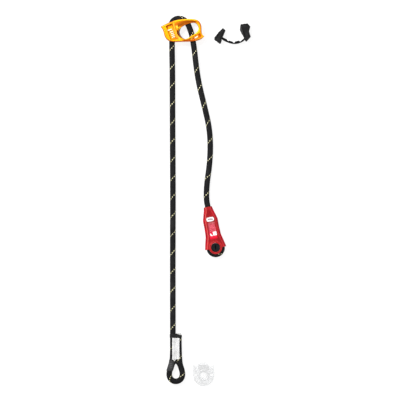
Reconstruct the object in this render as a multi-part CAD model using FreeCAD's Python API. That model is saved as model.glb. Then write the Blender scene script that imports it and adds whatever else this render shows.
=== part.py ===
"""Adjustable rope lanyard with a rope grab: a forged adjuster on a kernmantle rope with two sewn ends.

Millimetres. The lanyard lies on the plane z = 0. +Y runs up the rope from the sewn ends to the
adjuster, +X points from the tail strand to the harness strand, +Z points away from the surface.
The origin is the middle of the adjuster's connector hole, on its back face.
"""

import math
import os

import FreeCAD
import Part

V = FreeCAD.Vector
UP = V(0, 0, 1)

# ---------------------------------------------------------------- driving dimensions
ROPE_D = 11.0
ROPE_R = ROPE_D / 2

# The adjuster's three layers: back plate, rope layer, front plate.
BACK_TOP = 5.0
FRONT_BOTTOM = 16.8
FRONT_TOP = 24.0
EDGE_ROUND = 2.2
ROPE_GAP = 0.4
BIGHT_Z = (BACK_TOP + FRONT_BOTTOM) / 2

# The bight turns round the adjuster's post: a tight arc, then a wide one.
POST_CENTRE = V(-19.4, 10.0, 0)
TIGHT_R = 13.6
WIDE_R = 20.0
TAIL_SIDE_X = POST_CENTRE.x - TIGHT_R
WIDE_CENTRE = V(POST_CENTRE.x, POST_CENTRE.y + TIGHT_R - WIDE_R, 0)
RISE_ANGLE = 20.0
TILT = 6.0

# The sewn tail.
SEAM_Z = 6.3
STRAND_GAP = 0.6
STRAND_PITCH = ROPE_D + STRAND_GAP
TAIL_X = -31.4
TAIL_JOIN_Y = -586.0
TAIL_TOP_Y = -590.0
TAIL_SPREAD_Y = -634.0
EYE_R = 12.6
TAIL_EYE = V(TAIL_X + STRAND_PITCH / 2, -669.3, SEAM_Z)
STITCH_W = 13.9
TAIL_STITCH = (-639.2, -597.2)
BAND_W = 6.8
BAND_WALL = 0.7
CUT_END_R = 5.1
CUT_END_L = 1.6
CUT_END_OUT = 1.5
TAIL_SPREAD_R = 80.0
MARKING_L = 21.0
MARKING_WALL = 0.6

# The sewn harness end, in its own frame: origin at the ring's middle, +Y up the sleeve.
END_CENTRE = V(51.7, -421.4, 0)
END_TURN = 10.8
SLEEVE_H = 15.0
SLEEVE_WALL = 1.2
SLEEVE_ROUND = 5.4
END_ROPE_Z = SLEEVE_H / 2
END_EYE_R = 12.4
SLEEVE_TOP_Y = 80.4
ROPE_ENTRY = 1.0
SLEEVE_MOUTH_Y = -1.5
FLANGE_T = 2.4
RING_IN = 8.7
RING_OUT = 12.8
RING_LIP = 0.5
RETAINER_R = 8.4
RETAINER_WAIST_R = 6.2
SLIT_W = 1.8
SLIT_L = 11.5
LABEL = (14.6, 31.0, 0.25)
LABEL_Y = 35.5
HARNESS_BAND_Y = 49.4
HARNESS_STITCH = (24.0, 42.4)
BADGE = (15.4, 8.2, 0.8)
BADGE_Y = 55.8

# The clear keeper that fits over the tail eye, and the rubber strap with a boot at each end.
KEEPER_CENTRE = V(28.4, -670.0, 0)
KEEPER_R = 20.5
KEEPER_WALL = 1.5
KEEPER_H = 14.6
KEEPER_HOLE_R = 5.9
KEEPER_BOSS_R = 7.4
KEEPER_TAB = (19.8, 13.4)
KEEPER_PLATEAU = (7.0, 25.5)
KEEPER_COLLAR = (8.6, 10.3, 0.5)
KEEPER_GROOVE = (16.4, 17.8)
BOOT_H = 12.0
BOOT_WALL = 2.0
STRAP_W = 6.0
STRAP_Z = 3.0
STRAP_OUTSIDE = [
    (62.9, -15.4), (69.4, -19.7), (75.2, -22.3), (80.9, -24.2), (87.7, -25.2), (94.6, -24.7), (100.3, -22.7),
    (104.3, -20.2), (109.6, -15.9),
]
STRAP_INSIDE = [
    (107.6, -14.6), (103.9, -17.8), (100.9, -20.6), (99.4, -20.6), (97.2, -18.9), (93.4, -19.7), (89.8, -20.8),
    (88.2, -23.2), (86.8, -23.1), (85.4, -21.3), (82.0, -20.0), (78.3, -18.9), (76.8, -19.6), (75.4, -19.8),
    (73.4, -16.2), (69.4, -14.4), (64.6, -11.9),
]

# ---------------------------------------------------------------- routes
# The strands' corner points, chosen by hand, from the adjuster to each sewn end.
TAIL_ROUTE = [
    V(TAIL_SIDE_X, -24.0, BIGHT_Z),
    V(TAIL_SIDE_X, -42.0, BIGHT_Z),
    V(-32.3, -74.0, 8.4),
    V(-32.2, -118.0, 5.5),
    V(-31.9, -200.0, 5.5),
    V(-31.2, -312.0, 5.5),
    V(-31.6, -424.0, 5.5),
    V(-31.5, -520.0, 5.5),
    V(TAIL_X, -564.0, SEAM_Z),
    V(TAIL_X, TAIL_JOIN_Y, SEAM_Z),
]
HARNESS_ROUTE = [
    V(8.1, -22.0, BIGHT_Z),
    V(10.7, -39.0, BIGHT_Z),
    V(13.8, -68.0, 8.2),
    V(19.2, -103.0, 5.6),
    V(30.4, -148.0, 5.5),
    V(39.6, -188.0, 5.5),
    V(42.0, -226.0, 5.5),
    V(39.6, -264.0, 5.5),
    V(34.8, -296.0, 5.5),
]

END_DOWN = FreeCAD.Rotation(UP, END_TURN).multVec(V(0, -1, 0))
HARNESS_END_POINT = END_CENTRE - END_DOWN * (SLEEVE_TOP_Y + ROPE_ENTRY)
HARNESS_END_POINT.z = END_ROPE_Z
HARNESS_ROUTE += [HARNESS_END_POINT - END_DOWN * 15.6, HARNESS_END_POINT]

# ---------------------------------------------------------------- outlines of the adjuster
TOP_EDGE = [
    (-55.0, 7.4),
    (-47.5, 11.9),
    (-38.9, 15.8),
    (-26.0, 20.2),
    (-10.0, 22.5),
    (8.0, 22.7),
    (17.6, 19.9),
    (23.0, 12.8),
    (24.4, 2.0),
    (25.0, -4.6),
    (29.6, -10.7),
]
BOTTOM_EDGE = [
    (29.6, -10.7),
    (26.2, -14.2),
    (15.0, -19.2),
    (0.0, -20.9),
    (-22.0, -21.6),
    (-36.0, -20.6),
    (-43.6, -16.4),
    (-48.0, -8.6),
    (-50.4, 1.0),
    (-55.0, 7.4),
]
HOLE = [
    (-19.3, 0.2),
    (-15.4, 6.3),
    (-7.0, 11.6),
    (3.0, 15.0),
    (11.6, 15.4),
    (17.2, 10.2),
    (17.9, 1.6),
    (12.4, -5.2),
    (3.4, -10.9),
    (-8.6, -15.8),
    (-14.8, -12.0),
]
BADGE_POCKET = [(-43.4, 9.2), (-34.4, 12.6), (-23.4, -17.8), (-34.6, -17.8)]
CORNER_POCKET = [(9.6, -12.8), (20.8, -4.6), (24.0, -11.4), (12.6, -16.6)]
SCOOP = [(-21.6, 14.2), (-9.0, 18.3), (6.0, 18.7), (14.6, 17.6), (8.0, 8.0), (-10.0, -6.0), (-20.4, -2.0)]
POCKET_DEPTH = 2.0
SCOOP_DEPTH = 4.8
HOLE_ROUND = 1.6
BACK_ROUND = 1.2


# ---------------------------------------------------------------- helpers
def flat(points, z=0.0):
    return [V(x, y, z) for x, y in points]


def spline_edge(points, closed=False):
    curve = Part.BSplineCurve()
    curve.interpolate(Points=points, PeriodicFlag=closed)
    return curve.toShape()


def prism(edges, bottom, top):
    """The solid between two heights whose outline is a closed set of edges at z = 0."""
    face = Part.Face(Part.Wire(edges))
    solid = face.extrude(V(0, 0, top - bottom))
    solid.translate(V(0, 0, bottom))
    return solid


def cornered(points, radius):
    """Edges of a closed polygon with its corners rounded."""
    edges, ends = [], []
    count = len(points)
    for i, corner in enumerate(points):
        before = (points[i - 1] - corner).normalize()
        after = (points[(i + 1) % count] - corner).normalize()
        half = before.getAngle(after) / 2
        reach = radius / math.tan(half)
        middle = corner + (before + after).normalize() * (radius / math.sin(half) - radius)
        start, end = corner + before * reach, corner + after * reach
        edges.append(Part.Arc(start, middle, end).toShape())
        ends.append((start, end))
    for i in range(count):
        edges.append(Part.LineSegment(ends[i - 1][1], ends[i][0]).toShape())
    return Part.__sortEdges__(edges)


def polygon_prism(points, bottom, top):
    ring = flat(points)
    edges = [Part.LineSegment(a, b).toShape() for a, b in zip(ring, ring[1:] + ring[:1])]
    return prism(edges, bottom, top)


def cylinder(radius, bottom, top, centre=V(0, 0, 0)):
    return Part.makeCylinder(radius, top - bottom, V(centre.x, centre.y, bottom))


def above(point, normal, size=200.0):
    """A big block that fills the space on the normal's side of a plane."""
    block = Part.makeBox(size, size, size, V(-size / 2, -size / 2, 0))
    block.Placement = FreeCAD.Placement(point, FreeCAD.Rotation(UP, normal))
    return block


def rounded_route(corners, radii=None):
    """Straight runs joined by tangent arcs. An arc is as large as its two runs allow, or as given."""
    edges, here, tightest = [], corners[0], math.inf
    for i in range(1, len(corners) - 1):
        corner = corners[i]
        before, after = corners[i - 1] - corner, corners[i + 1] - corner
        half_turn = (math.pi - before.getAngle(after)) / 2
        radius = 0.45 * min(before.Length, after.Length) / math.tan(half_turn)
        if radii and radii.get(i):
            radius = radii[i]
        tightest = min(tightest, radius)
        reach = radius * math.tan(half_turn)
        before.normalize()
        after.normalize()
        bisector = (before + after).normalize()
        middle = corner + bisector * (radius / math.cos(half_turn) - radius)
        start, end = corner + before * reach, corner + after * reach
        edges.append(Part.LineSegment(here, start).toShape())
        edges.append(Part.Arc(start, middle, end).toShape())
        here = end
    edges.append(Part.LineSegment(here, corners[-1]).toShape())
    return edges, tightest


def tube(edges, radius, name):
    """A round bar along a path, with its volume compared with section times length."""
    path = Part.Wire(edges)
    first = path.OrderedEdges[0]
    direction = first.tangentAt(first.FirstParameter)
    section = Part.Wire(Part.makeCircle(radius, path.OrderedVertexes[0].Point, direction))
    solid = path.makePipeShell([section], True, False)
    wanted = math.pi * radius**2 * path.Length
    print(f"{name}: {path.Length:.1f} mm long, volume {solid.Volume / wanted:.4f} of section x length")
    return solid


def arc_about(centre, radius, start, end):
    """The arc about a centre between two angles in degrees, counted from +X."""

    def point(angle):
        turn = math.radians(angle)
        return V(centre.x + radius * math.cos(turn), centre.y + radius * math.sin(turn), centre.z)

    return Part.Arc(point(start), point((start + end) / 2), point(end)).toShape(), point(start), point(end)


def eye_route(centre, radius, entry, left_x, right_x, spread_y, end_y, spread_r=None):
    """The path of a sewn eye: down the left strand, round the eye and back up the right strand."""
    half_gap = centre.x - left_x
    drop = spread_y - centre.y
    # The leg leaves the strand at (left_x, spread_y) and meets the eye's circle in a tangent.
    lean = math.acos(radius / math.hypot(half_gap, drop))
    touch = math.degrees(math.atan2(drop, -half_gap) + lean)
    arc, on, off = arc_about(centre, radius, touch, 540 - touch)
    top_left, top_right = V(left_x, spread_y, centre.z), V(right_x, spread_y, centre.z)
    down, _ = rounded_route([*entry, top_left, on], {len(entry): spread_r})
    up, _ = rounded_route([off, top_right, V(right_x, end_y, centre.z)], {1: spread_r})
    return down + [arc] + up, top_left, on


def placed_end(shape):
    """Moves a piece of the harness end from its own frame to its place."""
    shape = shape.copy()
    shape.rotate(V(0, 0, 0), UP, END_TURN)
    shape.translate(END_CENTRE)
    return shape


# ---------------------------------------------------------------- rope pieces
def rope_bight():
    """The rope inside the adjuster: up beside the post, over it and down across the hole."""
    tight = V(POST_CENTRE.x, POST_CENTRE.y, BIGHT_Z)
    wide = V(WIDE_CENTRE.x, WIDE_CENTRE.y, BIGHT_Z)
    first, low, _ = arc_about(tight, TIGHT_R, 180, 90)
    second, _, high = arc_about(wide, WIDE_R, 90, RISE_ANGLE)
    lean = math.radians(RISE_ANGLE)
    kink = high + V(math.sin(lean), -math.cos(lean), 0) * 18.0
    leave = HARNESS_ROUTE[0]
    onward = (leave - HARNESS_ROUTE[1]).normalize()
    straight = leave + onward * 4.0
    down, _ = rounded_route([high, kink, straight, leave], {1: 26.0})
    start = Part.LineSegment(TAIL_ROUTE[0], low).toShape()
    return tube([start, first, second, *down], ROPE_R, "rope_bight")


def strand(route, name):
    edges, tightest = rounded_route(route)
    print(f"{name}: tightest arc {tightest:.0f} mm")
    return tube(edges, ROPE_R, name)


# ---------------------------------------------------------------- the adjuster
def outline_edges():
    return [spline_edge(flat(TOP_EDGE)), spline_edge(flat(BOTTOM_EDGE))]


def rope_channel():
    """The space in the rope layer that the bight needs, wide enough for the adjuster to tilt."""
    swing = math.tan(math.radians(TILT))
    side, low_y = ROPE_R + ROPE_GAP, -32.0
    spread = (POST_CENTRE.y - low_y) * swing
    left = polygon_prism(
        [
            (TAIL_SIDE_X - side, POST_CENTRE.y + 2),
            (TAIL_SIDE_X + side, POST_CENTRE.y + 2),
            (TAIL_SIDE_X + side, POST_CENTRE.y),
            (TAIL_SIDE_X + side + spread, low_y),
            (TAIL_SIDE_X - side - spread, low_y),
            (TAIL_SIDE_X - side, POST_CENTRE.y),
        ],
        BACK_TOP,
        FRONT_BOTTOM,
    )
    tight = cylinder(TIGHT_R + side, BACK_TOP, FRONT_BOTTOM, POST_CENTRE)
    tight = tight.cut(cylinder(TIGHT_R - side, BACK_TOP, FRONT_BOTTOM, POST_CENTRE))
    tight = tight.common(Part.makeBox(60, 60, 40, V(-60 + POST_CENTRE.x, POST_CENTRE.y, 0)))
    slack = (POST_CENTRE.y - WIDE_CENTRE.y) * swing
    wide = cylinder(WIDE_R + side + slack, BACK_TOP, FRONT_BOTTOM, WIDE_CENTRE)
    wide = wide.cut(cylinder(WIDE_R - side - slack, BACK_TOP, FRONT_BOTTOM, WIDE_CENTRE))
    wide = wide.common(Part.makeBox(60, 60, 40, V(POST_CENTRE.x, POST_CENTRE.y - 8, 0)))
    right = polygon_prism([(-8.6, 12.0), (8.0, 12.0), (16.8, -8.0), (19.6, low_y), (-4.4, low_y)],
                          BACK_TOP, FRONT_BOTTOM)
    return left.fuse([tight, wide, right])


def adjuster_frame():
    """The forged body: two plates joined by the post and the end walls, with the rope layer between."""
    body = prism(outline_edges(), 0.0, FRONT_TOP)
    body = body.cut(prism([spline_edge(flat(HOLE), closed=True)], -1.0, FRONT_TOP + 1))

    def rims(height, inside):
        """The closed edges round the outline or the hole, on one of the two faces."""
        level = [e for e in body.Edges if e.BoundBox.ZLength < 0.01 and abs(e.BoundBox.ZMin - height) < 0.1]
        return [e for e in level if (e.BoundBox.XMax < 20.0 and e.BoundBox.XMin > -25.0) == inside]

    for height, inside, radius in (
        (FRONT_TOP, False, EDGE_ROUND), (FRONT_TOP, True, HOLE_ROUND), (0.0, False, BACK_ROUND), (0.0, True, HOLE_ROUND),
    ):
        body = body.makeFillet(radius, rims(height, inside))
    body = body.cut(rope_channel())
    # The front face dips towards the hole in a scoop that ends in a level floor.
    down = V(0.36, -0.93, 0)
    slope = V(down.x * 0.5, down.y * 0.5, 1).normalize()
    scoop = prism(cornered(flat(SCOOP), 2.0), FRONT_TOP - SCOOP_DEPTH, FRONT_TOP + 1)
    body = body.cut(scoop.common(above(V(-10.0, 18.3, FRONT_TOP - 1.2), slope)))
    for pocket, top in ((BADGE_POCKET, FRONT_TOP), (CORNER_POCKET, FRONT_TOP)):
        body = body.cut(prism(cornered(flat(pocket), 2.0), top - POCKET_DEPTH, FRONT_TOP + 1))
    return body


# ---------------------------------------------------------------- the sewn tail
def tail_eye():
    edges, top, on = eye_route(
        TAIL_EYE, EYE_R, [V(TAIL_X, TAIL_JOIN_Y, SEAM_Z)],
        TAIL_X, TAIL_X + STRAND_PITCH, TAIL_SPREAD_Y, TAIL_TOP_Y + CUT_END_OUT, TAIL_SPREAD_R,
    )
    return tube(edges, ROPE_R, "tail_eye_rope"), top, on


def pair_core(centre_x, bottom_y, top_y, z, radius):
    """Two round bars side by side, for cutting seams and bands to fit the two strands."""
    bars = [
        Part.makeCylinder(radius, top_y - bottom_y, V(centre_x + side * STRAND_PITCH / 2, bottom_y, z), V(0, 1, 0))
        for side in (-1, 1)
    ]
    return bars[0].fuse(bars[1])


def stitching(centre_x, bottom_y, top_y, z, rope):
    """The thread block: a plate over and under the two strands, joined through the gap between them."""
    height = 2 * z
    block = Part.makeBox(STITCH_W, top_y - bottom_y, height, V(centre_x - STITCH_W / 2, bottom_y, 0))
    return block.cut([pair_core(centre_x, bottom_y - 1, top_y + 1, z, ROPE_R + 0.02), rope])


def band(centre_x, top, z, wall):
    """A shrunk band round two strands side by side."""
    radius = ROPE_R + wall
    half = STRAND_PITCH / 2
    block = Part.makeBox(STRAND_PITCH, BAND_W, 2 * radius, V(centre_x - half, top - BAND_W, z - radius))
    for side in (-1, 1):
        centre = V(centre_x + side * half, top - BAND_W, z)
        block = block.fuse(Part.makeCylinder(radius, BAND_W, centre, V(0, 1, 0)))
    return block.removeSplitter().cut(pair_core(centre_x, top - BAND_W - 1, top + 1, z, ROPE_R + 0.02))


def tail_seam_band():
    """The band that holds the cut end against the strand."""
    return band(TAIL_EYE.x, TAIL_TOP_Y, SEAM_Z, BAND_WALL)


def tail_cut_end():
    """The heat-sealed tip of the return strand, where the pale core shows."""
    return Part.makeCylinder(CUT_END_R, CUT_END_L, V(TAIL_X + STRAND_PITCH, TAIL_TOP_Y + CUT_END_OUT, SEAM_Z), V(0, 1, 0))


def marking_sleeve(top, on):
    """A short tube on the straight of the eye's left leg."""
    leg = (on - top).normalize()
    start = top + leg * 8.4
    outer = Part.makeCylinder(ROPE_R + MARKING_WALL, MARKING_L, start, leg)
    return outer.cut(Part.makeCylinder(ROPE_R + 0.03, MARKING_L, start, leg))


# ---------------------------------------------------------------- the sewn harness end
TUNNEL_ROWS = [(80.4, 7.2), (72, 7.9), (64, 10.7), (56, 12.9), (40, 12.9), (22, 13.4), (12, 16.4), (4, 19.0), (-1.5, 19.7)]
FLANGE_ROWS = [(80.4, 7.8), (73, 9.1), (64, 11.8), (55, 14.1), (40, 13.9), (24, 14.7), (12, 17.8), (-1.5, 21.0)]


def end_half_widths(inner):
    """Half widths down the sleeve, of the flange's edge or of the rope tunnel's outside."""
    if inner:
        return TUNNEL_ROWS
    return FLANGE_ROWS


def end_outline(rows, shrink=0.0, over=0.0):
    """A closed symmetric outline through rows of (height, half width), run past its ends by over."""
    right = [V(w - shrink, y, 0) for y, w in rows]
    right[0].y += over
    right[-1].y -= over
    left = [V(-p.x, p.y, 0) for p in reversed(right)]
    sides = [spline_edge(right), spline_edge(left)]
    caps = [
        Part.LineSegment(right[-1], left[0]).toShape(),
        Part.LineSegment(left[-1], right[0]).toShape(),
    ]
    return [sides[0], caps[0], sides[1], caps[1]]


def harness_eye():
    half = STRAND_PITCH / 2
    edges, _, _ = eye_route(
        V(0, -1.0, END_ROPE_Z), END_EYE_R,
        [V(0, SLEEVE_TOP_Y + ROPE_ENTRY, END_ROPE_Z), V(0, 70.0, END_ROPE_Z), V(-half, 56.0, END_ROPE_Z)],
        -half, half, 18.0, HARNESS_BAND_Y + 1.5,
    )
    return placed_end(tube(edges, ROPE_R, "harness_eye_rope"))


def rounded_block(rows, shrink, over, bottom, top, radius):
    """A tunnel-shaped block on the sleeve's outline with its four long edges rounded."""
    block = prism(end_outline(rows, shrink, over), bottom, top)
    long_edges = [
        e for e in block.Edges
        if e.BoundBox.ZLength < 0.01 and e.BoundBox.YLength > 60 and not isinstance(e.Curve, Part.Line)
    ]
    return block.makeFillet(radius, long_edges)


def protective_sleeve():
    """The soft sleeve: a flat tunnel over the seam with a flange down each side and a ring round the eye."""
    middle = SLEEVE_H / 2
    tunnel = rounded_block(end_half_widths(True), 0, 0, 0, SLEEVE_H, SLEEVE_ROUND)
    flange = prism(end_outline(end_half_widths(False)), middle - FLANGE_T / 2, middle + FLANGE_T / 2)
    body = tunnel.fuse(flange)
    body = body.fuse(cylinder(RING_OUT, 0, SLEEVE_WALL))
    body = body.fuse(cylinder(RING_OUT, SLEEVE_H - SLEEVE_WALL, SLEEVE_H + RING_LIP))
    inner = SLEEVE_ROUND - SLEEVE_WALL
    hollow = rounded_block(end_half_widths(True), SLEEVE_WALL, 2.0, SLEEVE_WALL, SLEEVE_H - SLEEVE_WALL, inner)
    # The flange is cut back too where the rope's loop leaves the sleeve.
    body = body.cut([hollow, cylinder(RING_IN, -1, SLEEVE_H + 1)])
    return placed_end(body)


def connector_retainer():
    """The rubber plug in the ring, waisted to fit inside the rope's loop, with a slit for the connector."""
    low, high = 0.3, SLEEVE_H - 0.1
    body = cylinder(RETAINER_WAIST_R, low, high)
    body = body.fuse([cylinder(RETAINER_R, low, low + 1.2), cylinder(RETAINER_R, high - 1.2, high)])
    slit = Part.makeBox(SLIT_W, SLIT_L, SLEEVE_H + 2, V(-SLIT_W / 2, -SLIT_L / 2, -1))
    return placed_end(body.cut(slit))


def harness_stitching():
    low = SLEEVE_WALL + 0.5
    bottom, top = HARNESS_STITCH
    block = Part.makeBox(STITCH_W, top - bottom, SLEEVE_H - 2 * low, V(-STITCH_W / 2, bottom, low))
    return placed_end(block.cut(pair_core(0, 0, 80, END_ROPE_Z, ROPE_R + 0.02)))


def harness_seam_band():
    return placed_end(band(0, HARNESS_BAND_Y, END_ROPE_Z, 0.35))


def slab(size, y, bottom, radius):
    width, length, height = size
    corners = [(-width / 2, y - length / 2), (width / 2, y - length / 2), (width / 2, y + length / 2), (-width / 2, y + length / 2)]
    return prism(cornered(flat(corners), radius), bottom, bottom + height)


def harness_label():
    return placed_end(slab(LABEL, LABEL_Y, SLEEVE_H, 1.5))


def sleeve_badge():
    return placed_end(slab(BADGE, BADGE_Y, SLEEVE_H, BADGE[1] / 2 - 0.05))


# ---------------------------------------------------------------- loose accessories
def keeper_outline(wall, over=0.0):
    """The keeper's plan: a round foot, straight sides, two shoulders and a raised middle."""
    side = KEEPER_R - wall
    half, height = KEEPER_PLATEAU
    tab, foot = KEEPER_TAB
    up = [V(side, 0, 0), V(side, tab + over, 0), V(side - 3.6, tab - 0.3 + over, 0), V(foot, tab - 1.2 + over, 0)]
    up.append(V(half, height + over, 0))
    across = [V(-p.x, p.y, 0) for p in reversed(up)]
    points = up + across
    edges = [Part.LineSegment(a, b).toShape() for a, b in zip(points, points[1:])]
    edges.append(Part.Arc(points[-1], V(0, -side, 0), points[0]).toShape())
    return edges


def clear_keeper():
    """A pocket that slips over the tail eye, with a bored boss that holds a connector square."""
    body = prism(keeper_outline(0), 0, KEEPER_H)
    pocket = prism(keeper_outline(KEEPER_WALL, KEEPER_WALL + 1), KEEPER_WALL, KEEPER_H - KEEPER_WALL)
    body = body.cut(pocket.cut(cylinder(KEEPER_BOSS_R, 0, KEEPER_H)))
    body = body.cut(cylinder(KEEPER_HOLE_R, -1, KEEPER_H + 1))
    for side in (-1, 1):
        window = [(side * 16.0 - 2.6, -1.6), (side * 16.0 + 2.6, -1.6), (side * 16.0 + 2.6, 1.6), (side * 16.0 - 2.6, 1.6)]
        body = body.cut(prism(cornered(flat(window), 1.4), -1, KEEPER_H + 1))
    collar = cylinder(KEEPER_COLLAR[1], KEEPER_H - 0.1, KEEPER_H + KEEPER_COLLAR[2])
    body = body.fuse(collar.cut(cylinder(KEEPER_COLLAR[0], 0, KEEPER_H + 2)))
    outer, out_a, out_b = arc_about(V(0, 0, 0), KEEPER_GROOVE[1], 205, 335)
    inner, in_a, in_b = arc_about(V(0, 0, 0), KEEPER_GROOVE[0], 205, 335)
    ends = [Part.LineSegment(out_b, in_b).toShape(), Part.LineSegment(in_a, out_a).toShape()]
    body = body.cut(prism([outer, ends[0], inner, ends[1]], KEEPER_H - 0.5, KEEPER_H + 1))
    body.translate(KEEPER_CENTRE)
    return body


SMALL_BOOT = [(50.2, -13.2), (64.6, 4.6), (66.8, 5.4), (70.6, 1.2), (65.4, -11.6), (61.4, -24.0), (59.8, -24.6), (50.0, -16.8)]
LARGE_BOOT = [(99.6, 2.0), (100.8, 13.0), (108.0, 12.8), (113.6, 14.8), (119.4, 8.6), (117.0, -1.0), (120.2, -11.6), (111.6, -21.2), (109.4, -19.0)]


def boot(points, mouth):
    """A rubber boot: a closed outline with a hollow that opens through one side."""
    body = prism(cornered(flat(points), 1.2), 0, BOOT_H)
    hollow = prism(cornered(flat(mouth), 1.0), BOOT_WALL, BOOT_H - BOOT_WALL)
    return body.cut(hollow)


def small_boot():
    return boot(SMALL_BOOT, [(55.4, -13.2), (65.4, -1.6), (74.0, -3.0), (66.0, -24.0), (60.8, -18.6)])


def large_boot():
    return boot(LARGE_BOOT, [(103.4, 1.4), (104.2, 18.0), (115.0, 18.0), (114.2, -1.6), (112.4, -10.6)])


def notched_strap():
    """A flat strap that curves from boot to boot, with blocks along its inside."""
    outside = spline_edge(flat(STRAP_OUTSIDE))
    inside = flat([STRAP_OUTSIDE[-1]] + STRAP_INSIDE + [STRAP_OUTSIDE[0]])
    edges = [Part.LineSegment(a, b).toShape() for a, b in zip(inside, inside[1:])]
    return prism([outside] + edges, STRAP_Z, STRAP_Z + STRAP_W)


# ---------------------------------------------------------------- write the parts
def main():
    os.makedirs("parts", exist_ok=True)
    eye_rope, leg_top, leg_end = tail_eye()
    strap = notched_strap()
    small, large = small_boot(), large_boot()
    strap = strap.cut([small, large])
    nodes = {
        "adjuster_frame": adjuster_frame(),
        "rope_bight": rope_bight(),
        "tail_strand": strand(TAIL_ROUTE, "tail_strand"),
        "harness_strand": strand(HARNESS_ROUTE, "harness_strand"),
        "tail_eye_rope": eye_rope,
        "tail_stitching": stitching(TAIL_EYE.x, *TAIL_STITCH, SEAM_Z, eye_rope),
        "tail_seam_band": tail_seam_band(),
        "tail_cut_end": tail_cut_end(),
        "tail_marking_sleeve": marking_sleeve(leg_top, leg_end),
        "harness_eye_rope": harness_eye(),
        "harness_stitching": harness_stitching(),
        "harness_seam_band": harness_seam_band(),
        "harness_label": harness_label(),
        "protective_sleeve": protective_sleeve(),
        "sleeve_badge": sleeve_badge(),
        "connector_retainer": connector_retainer(),
        "clear_keeper": clear_keeper(),
        "notched_strap": strap,
        "small_boot": small,
        "large_boot": large,
    }
    for name, shape in nodes.items():
        solids = len(shape.Solids)
        print(f"{name}: {solids} solid(s), {shape.Volume:.0f} mm3, valid {shape.isValid()}")
        shape.exportStep(f"parts/{name}.step")


main()
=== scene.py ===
import math

import bmesh
import bpy
import numpy as np
from mathutils import Matrix, Vector, kdtree

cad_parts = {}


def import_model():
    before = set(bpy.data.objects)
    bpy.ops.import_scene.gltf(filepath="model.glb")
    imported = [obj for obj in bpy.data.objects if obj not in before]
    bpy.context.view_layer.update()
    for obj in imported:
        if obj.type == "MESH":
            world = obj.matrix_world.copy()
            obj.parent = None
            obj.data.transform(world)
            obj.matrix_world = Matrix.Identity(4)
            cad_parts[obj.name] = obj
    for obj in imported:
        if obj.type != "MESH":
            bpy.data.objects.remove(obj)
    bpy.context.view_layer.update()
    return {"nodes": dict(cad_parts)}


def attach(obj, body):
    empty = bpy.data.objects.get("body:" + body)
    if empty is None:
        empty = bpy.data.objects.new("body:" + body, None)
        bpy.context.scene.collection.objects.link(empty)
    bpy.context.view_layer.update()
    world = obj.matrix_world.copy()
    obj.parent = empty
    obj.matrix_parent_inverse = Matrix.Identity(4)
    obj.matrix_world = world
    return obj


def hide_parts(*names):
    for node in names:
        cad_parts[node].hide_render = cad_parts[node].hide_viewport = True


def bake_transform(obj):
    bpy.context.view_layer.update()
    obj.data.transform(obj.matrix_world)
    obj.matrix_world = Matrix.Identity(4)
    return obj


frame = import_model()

MM = 0.001
scene = bpy.context.scene

# ---------------------------------------------------------------- camera and light
SENSOR = 36.0
CAMERA_HEIGHT, VIEW_WIDTH = 9.0, 0.779

camera = bpy.data.objects.new("camera", bpy.data.cameras.new("camera"))
scene.collection.objects.link(camera)
camera.data.sensor_width = SENSOR
camera.data.lens = SENSOR * CAMERA_HEIGHT / VIEW_WIDTH
camera.data.clip_end = 50.0
camera.location = (0.0214, -0.329, CAMERA_HEIGHT)
scene.camera = camera
scene.view_settings.view_transform = "Standard"


def area_light(name, place, aim, size, power):
    light = bpy.data.objects.new(name, bpy.data.lights.new(name, "AREA"))
    scene.collection.objects.link(light)
    light.data.shape = "DISK"
    light.data.size = size
    light.data.energy = power
    light.location = place
    light.rotation_mode = "QUATERNION"
    light.rotation_quaternion = (Vector(aim) - Vector(place)).to_track_quat("-Z", "Y")


area_light("key_light", (-1.05, 0.85, 1.9), (0, -0.3, 0), 0.8, 72)
area_light("fill_light", (1.7, -1.2, 2.0), (0, -0.3, 0), 1.8, 20)
area_light("far_light", (0.3, 2.2, 1.0), (0, -0.2, 0), 1.2, 10)


def studio_world():
    """A soft surround, brighter overhead than at the horizon."""
    world = bpy.data.worlds.new("studio")
    scene.world = world
    world.use_nodes = True
    nodes, links = world.node_tree.nodes, world.node_tree.links
    where = nodes.new("ShaderNodeTexCoord")
    split = nodes.new("ShaderNodeSeparateXYZ")
    ramp = nodes.new("ShaderNodeValToRGB")
    for element, (place, level) in zip(ramp.color_ramp.elements, ((0.0, 0.22), (1.0, 0.50))):
        element.position, element.color = place, (level, level, level, 1)
    links.new(where.outputs[0], split.inputs[0])
    links.new(split.outputs[2], ramp.inputs[0])
    links.new(ramp.outputs[0], nodes["Background"].inputs[0])


studio_world()


def metres(point):
    """A point given in mm, in metres."""
    return tuple(c * MM for c in point)


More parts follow.
